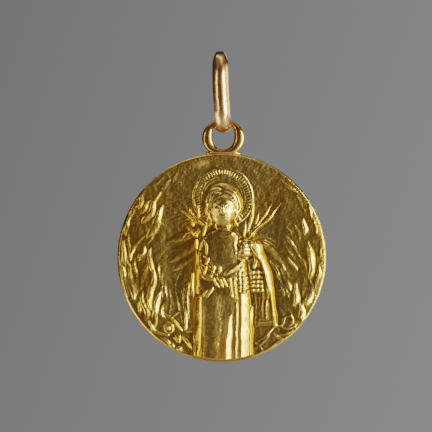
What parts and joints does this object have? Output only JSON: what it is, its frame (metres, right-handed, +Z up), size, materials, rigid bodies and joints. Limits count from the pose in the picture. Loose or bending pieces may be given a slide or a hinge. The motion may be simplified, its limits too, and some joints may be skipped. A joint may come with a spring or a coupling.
{
  "type": "religious medal pendant",
  "caption": "Round gold medal with a haloed robed figure among flames in relief, a soldered eye on its edge and an oval bail that a chain passes through.",
  "frame": {"origin": "the middle of the bail's inside top, where the chain rests", "axes": "+Z up, +X to the right of the struck face, -Y the way the struck face looks; the medal hangs straight down"},
  "size_m": [0.018, 0.004, 0.0267],
  "materials": {
    "medal_gold": "satin, worn bright on the high places",
    "bail_gold": "polished, slightly redder than the medal"
  },
  "bodies": {
    "bail": {"bail": "bail_gold"},
    "medal": {"medal": "medal_gold"}
  },
  "joints": [
    {"name": "medal_swing", "type": "hinge", "parent": "bail", "child": "medal", "pos_m": [0.00028, 0, -0.00554], "axis": [1, 0, 0], "range_deg": [-105, 105]}
  ]
}
